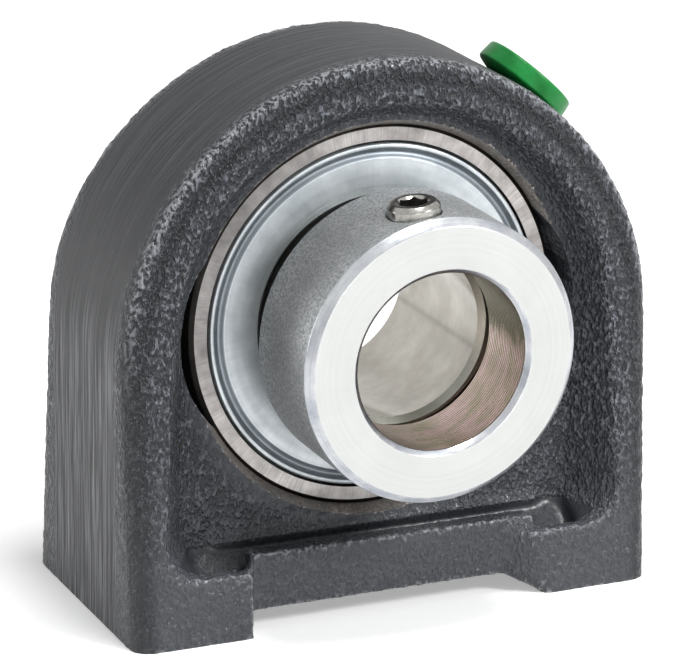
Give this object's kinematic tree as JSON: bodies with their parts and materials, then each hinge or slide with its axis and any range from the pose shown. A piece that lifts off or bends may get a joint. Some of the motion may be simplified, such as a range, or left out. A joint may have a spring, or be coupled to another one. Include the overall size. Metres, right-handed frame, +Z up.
{
  "type": "pillow block bearing",
  "caption": "Compact cast pillow block with a self-aligning ball bearing insert, an eccentric locking collar with a set screw, and two tapped holes in its base.",
  "frame": {"origin": "middle of the two base holes, on the base plane", "axes": "+Z up, Y along the shaft with the locking collar on the -Y side, +X towards the grease plug's side"},
  "size_m": [0.0648, 0.0413, 0.0638],
  "materials": {
    "painted_casting": "slate grey paint over a rough casting, belt-ground round the arch",
    "ground_steel": "ground",
    "polished_steel": "polished",
    "moulded_cage": "glass-filled polyamide, natural",
    "zinc_plated_steel": "bright zinc",
    "seal_rubber": "moulded",
    "turned_steel": "turned face, tumbled outside",
    "screw_steel": "bright",
    "green_plastic": "moulded polyethylene"
  },
  "bodies": {
    "housing_body": {"housing": "painted_casting"},
    "insert_body": {"outer_ring": "ground_steel", "front_inner_shield": "zinc_plated_steel", "front_seal_lip": "seal_rubber", "front_outer_shield": "zinc_plated_steel", "back_inner_shield": "zinc_plated_steel", "back_seal_lip": "seal_rubber", "back_outer_shield": "zinc_plated_steel"},
    "shaft_body": {"inner_ring": "ground_steel"},
    "cage_body": {"cage": "moulded_cage"},
    "ball_1_body": {"ball_1": "polished_steel"},
    "ball_2_body": {"ball_2": "polished_steel"},
    "ball_3_body": {"ball_3": "polished_steel"},
    "ball_4_body": {"ball_4": "polished_steel"},
    "ball_5_body": {"ball_5": "polished_steel"},
    "ball_6_body": {"ball_6": "polished_steel"},
    "ball_7_body": {"ball_7": "polished_steel"},
    "ball_8_body": {"ball_8": "polished_steel"},
    "collar_body": {"locking_collar": "turned_steel"},
    "screw_body": {"set_screw": "screw_steel"},
    "plug_body": {"grease_plug": "green_plastic"}
  },
  "joints": [
    {"name": "insert_tilt", "type": "hinge", "parent": "housing_body", "child": "insert_body", "pos_m": [0, 0, 0.0333], "axis": [1, 0, 0], "range_deg": [-5, 5]},
    {"name": "shaft_spin", "type": "hinge", "parent": "insert_body", "child": "shaft_body", "pos_m": [0, 0, 0.0333], "axis": [0, 1, 0], "continuous": true},
    {"name": "cage_orbit", "type": "hinge", "parent": "insert_body", "child": "cage_body", "pos_m": [0, 0, 0.0333], "axis": [0, 1, 0], "continuous": true},
    {"name": "ball_1_roll", "type": "hinge", "parent": "cage_body", "child": "ball_1_body", "pos_m": [0.01675, 0, 0.0333], "axis": [0, 1, 0], "continuous": true},
    {"name": "ball_2_roll", "type": "hinge", "parent": "cage_body", "child": "ball_2_body", "pos_m": [0.01184, 0, 0.04514], "axis": [0, 1, 0], "continuous": true},
    {"name": "ball_3_roll", "type": "hinge", "parent": "cage_body", "child": "ball_3_body", "pos_m": [0, 0, 0.05005], "axis": [0, 1, 0], "continuous": true},
    {"name": "ball_4_roll", "type": "hinge", "parent": "cage_body", "child": "ball_4_body", "pos_m": [-0.01184, 0, 0.04514], "axis": [0, 1, 0], "continuous": true},
    {"name": "ball_5_roll", "type": "hinge", "parent": "cage_body", "child": "ball_5_body", "pos_m": [-0.01675, 0, 0.0333], "axis": [0, 1, 0], "continuous": true},
    {"name": "ball_6_roll", "type": "hinge", "parent": "cage_body", "child": "ball_6_body", "pos_m": [-0.01184, 0, 0.02146], "axis": [0, 1, 0], "continuous": true},
    {"name": "ball_7_roll", "type": "hinge", "parent": "cage_body", "child": "ball_7_body", "pos_m": [0, 0, 0.01655], "axis": [0, 1, 0], "continuous": true},
    {"name": "ball_8_roll", "type": "hinge", "parent": "cage_body", "child": "ball_8_body", "pos_m": [0.01184, 0, 0.02146], "axis": [0, 1, 0], "continuous": true},
    {"name": "collar_turn", "type": "hinge", "parent": "shaft_body", "child": "collar_body", "pos_m": [-0.00037, -0.0138, 0.03423], "axis": [0, 1, 0], "range_deg": [-90, 90]},
    {"name": "screw_travel", "type": "slide", "parent": "collar_body", "child": "screw_body", "axis": [-0.1219, 0, 0.9925], "range_m": [-0.0011, 0.002]},
    {"name": "plug_pull", "type": "slide", "parent": "housing_body", "child": "plug_body", "axis": [0.673, 0, 0.7396], "range_m": [0, 0.012]}
  ],
  "couplings": [
    {"joint": "cage_orbit", "follows": "shaft_spin", "ratio": 0.38152},
    {"joint": "ball_1_roll", "follows": "shaft_spin", "ratio": -1.9916},
    {"joint": "ball_2_roll", "follows": "shaft_spin", "ratio": -1.9916},
    {"joint": "ball_3_roll", "follows": "shaft_spin", "ratio": -1.9916},
    {"joint": "ball_4_roll", "follows": "shaft_spin", "ratio": -1.9916},
    {"joint": "ball_5_roll", "follows": "shaft_spin", "ratio": -1.9916},
    {"joint": "ball_6_roll", "follows": "shaft_spin", "ratio": -1.9916},
    {"joint": "ball_7_roll", "follows": "shaft_spin", "ratio": -1.9916},
    {"joint": "ball_8_roll", "follows": "shaft_spin", "ratio": -1.9916}
  ]
}
